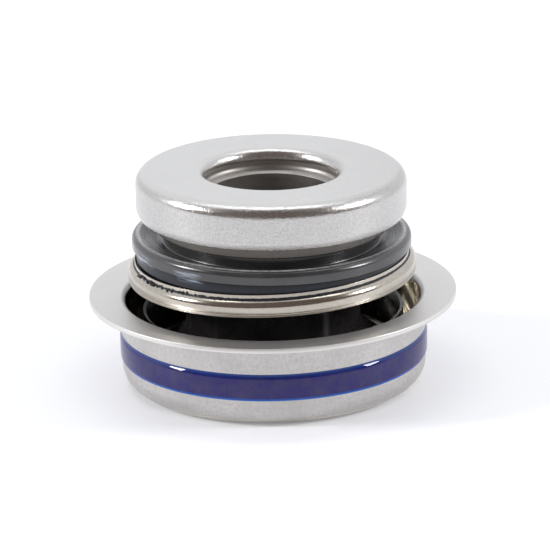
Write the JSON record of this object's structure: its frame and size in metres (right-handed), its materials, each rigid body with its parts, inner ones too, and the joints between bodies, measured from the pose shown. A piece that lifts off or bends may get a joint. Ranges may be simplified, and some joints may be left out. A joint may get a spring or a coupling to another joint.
{
  "type": "water pump seal",
  "caption": "Spring-loaded face seal for a water pump shaft: flanged cup with lacquer band, floating carbon head and turning capped seat on a sleeve.",
  "frame": {"origin": "centre of the cup's underside, on the axis", "axes": "+Z along the cup's axis, from the underside towards the flange and the turning seat; X and Y are alike, and the floating head leans slightly about Y"},
  "size_m": [0.0362, 0.0362, 0.0216],
  "materials": {
    "cup_steel": "satin drawn stainless",
    "cap_steel": "fine grained stainless",
    "sleeve_steel": "smooth drawn stainless",
    "hidden_steel": "plain pressed",
    "spring_steel": "drawn wire",
    "bright_nickel": "bright, slightly warm",
    "blue_lacquer": "translucent gloss",
    "black_rubber": "smooth moulded",
    "carbon": "satin graphite",
    "hard_face": "ground and lapped"
  },
  "bodies": {
    "case": {"case_cup": "cup_steel", "sealant_band": "blue_lacquer", "foot_clamp_ring": "hidden_steel", "lower_spring_seat": "hidden_steel"},
    "seal_head": {"retainer_ring": "bright_nickel", "bellows": "black_rubber", "spring": "spring_steel"},
    "head_backing": {"upper_spring_seat": "hidden_steel"},
    "face_ring": {"carbon_ring": "carbon"},
    "rotor": {"mating_ring": "hard_face", "seat_gasket": "black_rubber", "seat_shell": "cap_steel", "sleeve": "sleeve_steel"}
  },
  "joints": [
    {"name": "head_press", "type": "slide", "parent": "case", "child": "seal_head", "axis": [0, 0, 1], "range_m": [-0.0035, 0], "stiffness_N_per_m": 12000, "deforming": ["spring", "bellows"]},
    {"name": "head_rock_x", "type": "hinge", "parent": "seal_head", "child": "head_backing", "pos_m": [0, 0, 0.012], "axis": [1, 0, 0], "range_deg": [-1, 1], "stiffness_Nm_per_rad": 0.4},
    {"name": "head_rock_y", "type": "hinge", "parent": "head_backing", "child": "face_ring", "pos_m": [0, 0, 0.012], "axis": [0, 1, 0], "range_deg": [-1, 1], "stiffness_Nm_per_rad": 0.4},
    {"name": "shaft_spin", "type": "hinge", "parent": "face_ring", "child": "rotor", "pos_m": [0, 0, 0.012], "axis": [0.0122, 0, 0.9999], "continuous": true}
  ]
}
